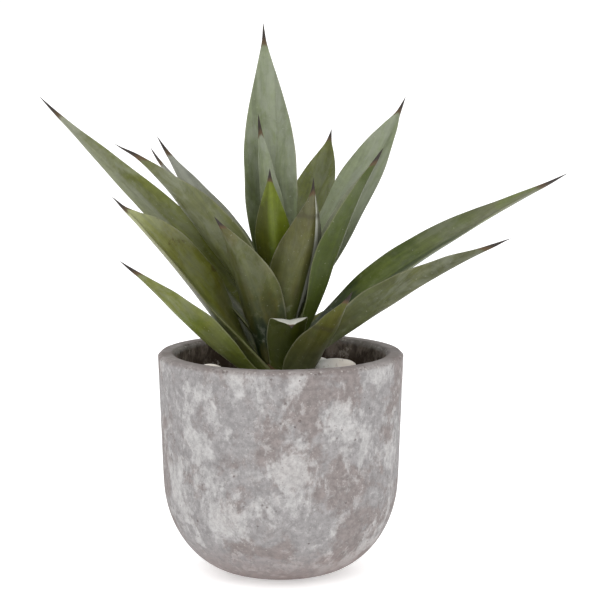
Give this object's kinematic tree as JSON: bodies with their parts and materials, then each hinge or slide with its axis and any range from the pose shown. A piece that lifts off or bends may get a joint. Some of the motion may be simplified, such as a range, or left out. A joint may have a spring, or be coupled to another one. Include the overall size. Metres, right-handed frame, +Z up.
{
  "type": "potted aloe vera",
  "caption": "Fleshy pointed leaves in a rosette on a short stem, standing in soil under white pebbles in a round cement pot with a curved bottom.",
  "frame": {"origin": "centre of the pot's flat foot, on the surface that it stands on", "axes": "+Z up the stem; +X to the side of the two long low leaves; -Y is the front, where the bent leaf is"},
  "size_m": [0.2938, 0.1567, 0.291],
  "materials": {
    "cement": "matte",
    "potting_soil": "matte",
    "stem_skin": "matte",
    "leaf_skin": "satin",
    "pebble_stone": "satin"
  },
  "bodies": {
    "root": {"pot": "cement", "soil": "potting_soil", "stem": "stem_skin", "leaf_back_tall": "leaf_skin", "leaf_centre_spire": "leaf_skin", "leaf_centre_young": "leaf_skin", "leaf_front_bent": "leaf_skin", "leaf_front_left": "leaf_skin", "leaf_front_right": "leaf_skin", "leaf_front_short": "leaf_skin", "leaf_left_broad": "leaf_skin", "leaf_left_hooked": "leaf_skin", "leaf_left_long": "leaf_skin", "leaf_left_low": "leaf_skin", "leaf_left_narrow": "leaf_skin", "leaf_left_spike": "leaf_skin", "leaf_rear_high": "leaf_skin", "leaf_rear_left": "leaf_skin", "leaf_rear_low": "leaf_skin", "leaf_rear_right": "leaf_skin", "leaf_right_back": "leaf_skin", "leaf_right_broad": "leaf_skin", "leaf_right_folded": "leaf_skin", "leaf_right_long": "leaf_skin", "leaf_right_low": "leaf_skin", "pebble_inner_1": "pebble_stone", "pebble_inner_2": "pebble_stone", "pebble_inner_3": "pebble_stone", "pebble_inner_4": "pebble_stone", "pebble_inner_5": "pebble_stone", "pebble_inner_6": "pebble_stone", "pebble_outer_1": "pebble_stone", "pebble_outer_2": "pebble_stone", "pebble_outer_3": "pebble_stone", "pebble_outer_4": "pebble_stone", "pebble_outer_5": "pebble_stone", "pebble_outer_6": "pebble_stone", "pebble_outer_7": "pebble_stone", "pebble_outer_8": "pebble_stone", "pebble_outer_9": "pebble_stone", "pebble_outer_10": "pebble_stone", "pebble_outer_11": "pebble_stone", "pebble_top_back": "pebble_stone", "pebble_top_left": "pebble_stone", "pebble_top_right": "pebble_stone"}
  },
  "joints": []
}
